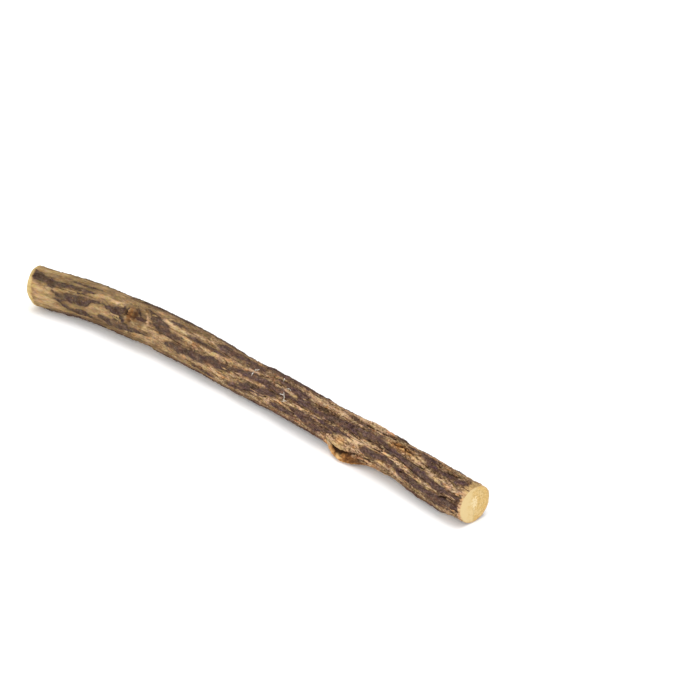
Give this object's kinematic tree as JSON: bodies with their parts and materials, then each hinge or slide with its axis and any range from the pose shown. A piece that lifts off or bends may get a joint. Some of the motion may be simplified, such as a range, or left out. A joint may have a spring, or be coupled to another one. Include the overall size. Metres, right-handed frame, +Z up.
{
  "type": "dried catnip stalk",
  "caption": "Gently bowed woody stalk with flaking dark bark over tan inner bark, knots along it and sawn ends, lying on its side.",
  "frame": {"origin": "bottom centre of the box round the stalk as it lies on a flat surface", "axes": "+X along the stalk from its slanting far cut to its square near cut, +Y to the side the stalk bows towards, +Z up"},
  "size_m": [0.1474, 0.0156, 0.0103],
  "materials": {
    "bark": "dry rough bark"
  },
  "bodies": {
    "root": {"stalk": "bark"}
  },
  "joints": []
}
